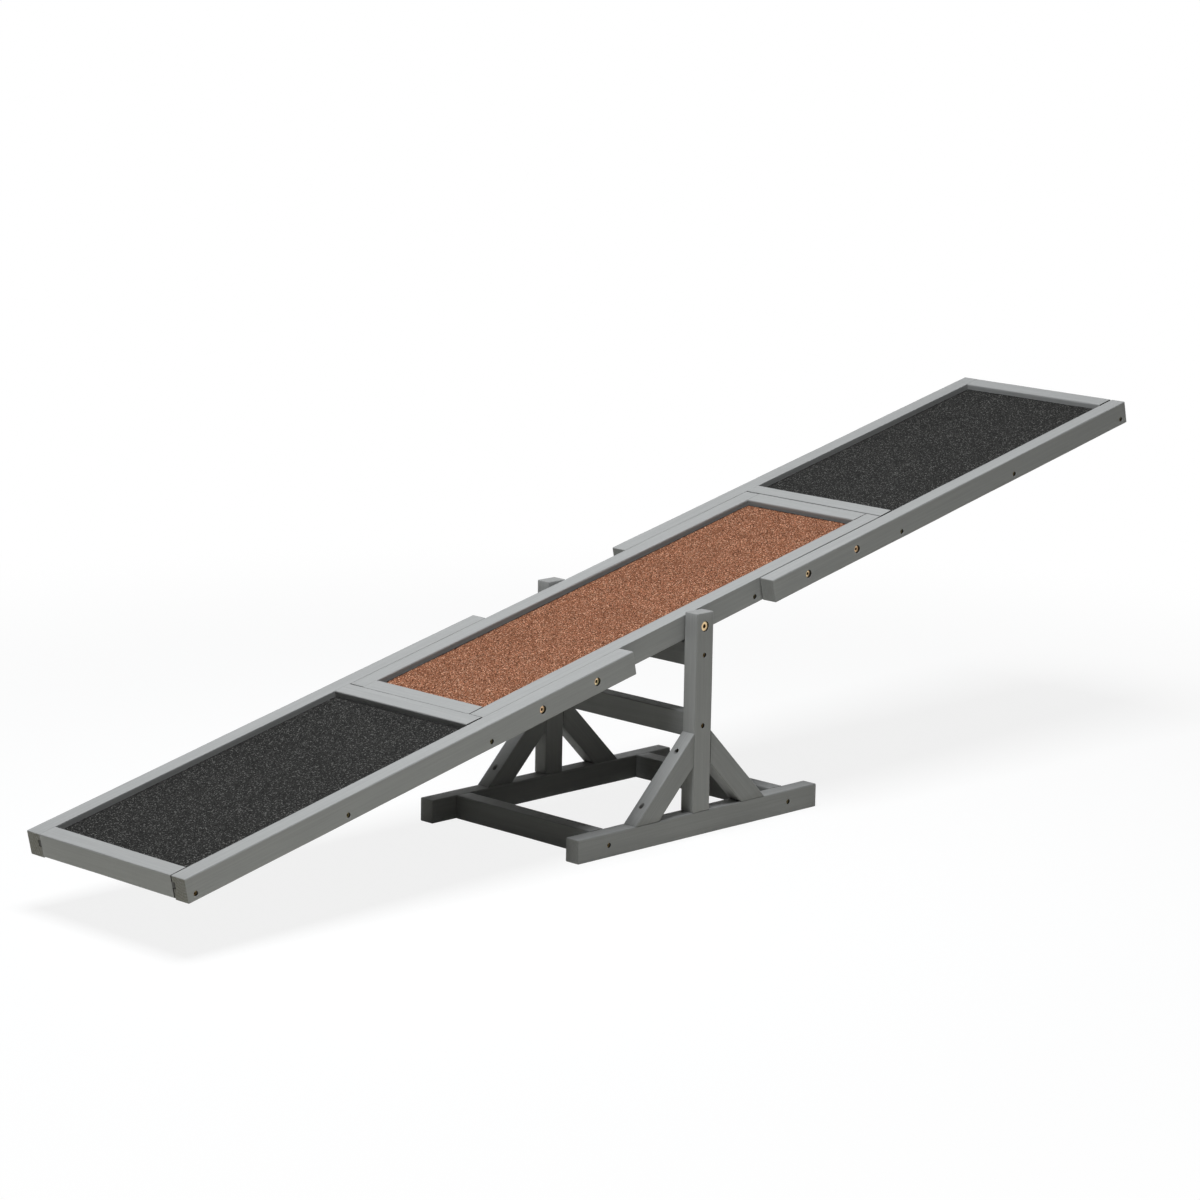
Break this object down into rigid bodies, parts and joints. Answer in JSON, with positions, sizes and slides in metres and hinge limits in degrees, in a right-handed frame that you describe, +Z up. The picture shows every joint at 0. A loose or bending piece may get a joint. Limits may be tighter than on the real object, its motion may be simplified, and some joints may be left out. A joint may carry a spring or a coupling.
{
  "type": "dog agility seesaw",
  "caption": "Timber dog agility seesaw: a framed plank with granulated grip panels that tips on bolts between two braced posts.",
  "frame": {"origin": "on the floor, under the middle of the tilt axis", "axes": "+X along the plank towards the end that is stored raised, +Y across the plank to the far side, +Z up"},
  "size_m": [1.7636, 0.3, 0.4934],
  "materials": {
    "painted_timber": "grey satin paint over softwood",
    "painted_board": "thin grey paint over plywood",
    "charcoal_granules": "mineral granules bonded in a dark bitumen sheet",
    "brown_granules": "mineral granules bonded in a red-brown bitumen sheet",
    "screw_steel": "yellow zinc plated, dull",
    "washer_zinc": "zinc plated",
    "yellow_zinc": "yellow zinc plated"
  },
  "bodies": {
    "base": {"near_post": "painted_timber", "far_post": "painted_timber", "near_runner": "painted_timber", "far_runner": "painted_timber", "near_low_brace": "painted_timber", "near_high_brace": "painted_timber", "far_low_brace": "painted_timber", "far_high_brace": "painted_timber", "low_ground_bar": "painted_timber", "high_ground_bar": "painted_timber", "middle_crossrail": "painted_timber", "upper_crossrail": "painted_timber", "ground_bar_screws": "screw_steel", "crossrail_screws": "screw_steel", "post_foot_screws": "screw_steel", "brace_screws": "screw_steel", "pivot_washers": "washer_zinc"},
    "plank": {"low_near_rail": "painted_timber", "low_far_rail": "painted_timber", "low_end_bar": "painted_timber", "low_inner_bar": "painted_timber", "low_batten": "painted_timber", "low_board": "painted_board", "low_grip_sheet": "charcoal_granules", "high_near_rail": "painted_timber", "high_far_rail": "painted_timber", "high_end_bar": "painted_timber", "high_inner_bar": "painted_timber", "high_batten": "painted_timber", "high_board": "painted_board", "high_grip_sheet": "charcoal_granules", "centre_near_rail": "painted_timber", "centre_far_rail": "painted_timber", "centre_low_bar": "painted_timber", "centre_high_bar": "painted_timber", "centre_low_batten": "painted_timber", "centre_high_batten": "painted_timber", "centre_board": "painted_board", "centre_grip_sheet": "brown_granules", "low_frame_screws": "screw_steel", "high_frame_screws": "screw_steel", "centre_frame_screws": "screw_steel", "tongue_bolts": "yellow_zinc", "tongue_inserts": "yellow_zinc", "pivot_bolts": "yellow_zinc", "pivot_inserts": "yellow_zinc"}
  },
  "joints": [
    {"name": "tilt", "type": "hinge", "parent": "base", "child": "plank", "pos_m": [0, 0, 0.2815], "axis": [0, -1, 0], "range_deg": [-29.8, 4.6]}
  ]
}
